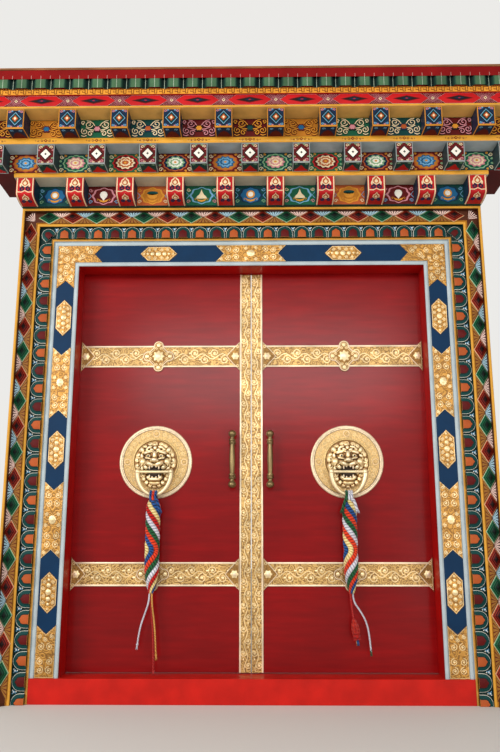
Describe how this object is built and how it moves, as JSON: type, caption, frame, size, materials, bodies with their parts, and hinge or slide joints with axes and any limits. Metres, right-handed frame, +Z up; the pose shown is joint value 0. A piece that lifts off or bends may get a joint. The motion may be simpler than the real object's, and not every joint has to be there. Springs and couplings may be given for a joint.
{
  "type": "carved temple door",
  "caption": "Double temple door: red leaves with gilt straps, lion knockers and tassels in a carved painted surround under a tiered cornice of beam ends",
  "frame": {"origin": "on the floor in the middle of the doorway, in the face plane of the casing", "axes": "+Z up, +Y into the building away from the visitor, +X to the visitor's right"},
  "size_m": [3.334, 0.7513, 3.444],
  "materials": {
    "threshold_red": "gloss paint",
    "frame_red": "gloss paint",
    "casing_blue": "gloss paint",
    "lotus_paint": "painted and gilt carving",
    "pyramid_paint": "painted and gilt carving",
    "gilt_plate": "embossed gilt sheet",
    "course_paint": "painted ornament",
    "beam_end_paint": "painted ornament",
    "shelf_gold": "gold paint",
    "fascia_red": "painted",
    "valance_cloth": "pleated cloth",
    "bare_wood": "plain timber",
    "hinge_iron": "dull black",
    "leaf_red": "gloss lacquer",
    "antique_brass": "aged",
    "knocker_brass": "cast and gilt",
    "plait_cord": "twisted coloured cord",
    "white_cord": "cord",
    "yellow_cord": "cord",
    "red_cord": "cord"
  },
  "bodies": {
    "frame": {"threshold": "threshold_red", "jamb_left": "frame_red", "jamb_right": "frame_red", "head_beam": "frame_red", "casing_left": "casing_blue", "casing_right": "casing_blue", "casing_head": "casing_blue", "lotus_timber_left": "lotus_paint", "lotus_timber_right": "lotus_paint", "lotus_timber_head": "lotus_paint", "pyramid_timber_left": "pyramid_paint", "pyramid_timber_right": "pyramid_paint", "pyramid_timber_head": "pyramid_paint", "casing_plates_left": "gilt_plate", "casing_plates_right": "gilt_plate", "casing_plates_head": "gilt_plate", "course_1": "course_paint", "beam_ends_1": "beam_end_paint", "shelf_1": "shelf_gold", "course_2": "course_paint", "beam_ends_2": "beam_end_paint", "shelf_2": "shelf_gold", "course_3": "course_paint", "beam_ends_3": "beam_end_paint", "shelf_3": "shelf_gold", "fascia": "fascia_red", "valance": "valance_cloth", "cornice_cap": "bare_wood", "cornice_back": "bare_wood", "cornice_ends": "bare_wood", "hinge_frame_plates": "hinge_iron", "hinge_pins": "hinge_iron"},
    "leaf_left": {"leaf_panel_left": "leaf_red", "leaf_ledges_left": "leaf_red", "straps_left": "gilt_plate", "strap_ornaments_left": "gilt_plate", "meeting_strip_left": "gilt_plate", "pull_handle_left": "antique_brass", "knocker_plate_left": "knocker_brass", "lion_mask_left": "knocker_brass", "hinge_leaf_plates_left": "hinge_iron"},
    "leaf_right": {"leaf_panel_right": "leaf_red", "leaf_ledges_right": "leaf_red", "straps_right": "gilt_plate", "strap_ornaments_right": "gilt_plate", "meeting_strip_right": "gilt_plate", "pull_handle_right": "antique_brass", "knocker_plate_right": "knocker_brass", "lion_mask_right": "knocker_brass", "hinge_leaf_plates_right": "hinge_iron"},
    "ring_left": {"knocker_ring_left": "knocker_brass"},
    "ring_right": {"knocker_ring_right": "knocker_brass"},
    "tassel_left": {"plait_left": "plait_cord", "tail_white_left": "white_cord", "tail_yellow_left": "yellow_cord", "tail_red_left": "red_cord"},
    "tassel_right": {"plait_right": "plait_cord", "tail_red_right": "red_cord", "tail_white_right": "white_cord", "tail_ends_right": "red_cord"}
  },
  "joints": [
    {"name": "leaf_left_hinge", "type": "hinge", "parent": "frame", "child": "leaf_left", "pos_m": [-1.04, 0.222, 1.29], "axis": [0, 0, 1], "range_deg": [0, 95]},
    {"name": "ring_left_lift", "type": "hinge", "parent": "leaf_left", "child": "ring_left", "pos_m": [-0.558, 0.092, 1.233], "axis": [-1, 0, 0], "range_deg": [0, 85]},
    {"name": "tassel_left_hang", "type": "hinge", "parent": "ring_left", "child": "tassel_left", "pos_m": [-0.558, 0.092, 1.102], "axis": [-1, 0, 0], "range_deg": [-85, 0]},
    {"name": "leaf_right_hinge", "type": "hinge", "parent": "frame", "child": "leaf_right", "pos_m": [1.04, 0.222, 1.29], "axis": [0, 0, -1], "range_deg": [0, 95]},
    {"name": "ring_right_lift", "type": "hinge", "parent": "leaf_right", "child": "ring_right", "pos_m": [0.558, 0.092, 1.233], "axis": [-1, 0, 0], "range_deg": [0, 85]},
    {"name": "tassel_right_hang", "type": "hinge", "parent": "ring_right", "child": "tassel_right", "pos_m": [0.558, 0.092, 1.102], "axis": [-1, 0, 0], "range_deg": [-85, 0]}
  ],
  "couplings": [
    {"joint": "tassel_left_hang", "follows": "ring_left_lift", "ratio": -1},
    {"joint": "tassel_right_hang", "follows": "ring_right_lift", "ratio": -1}
  ]
}
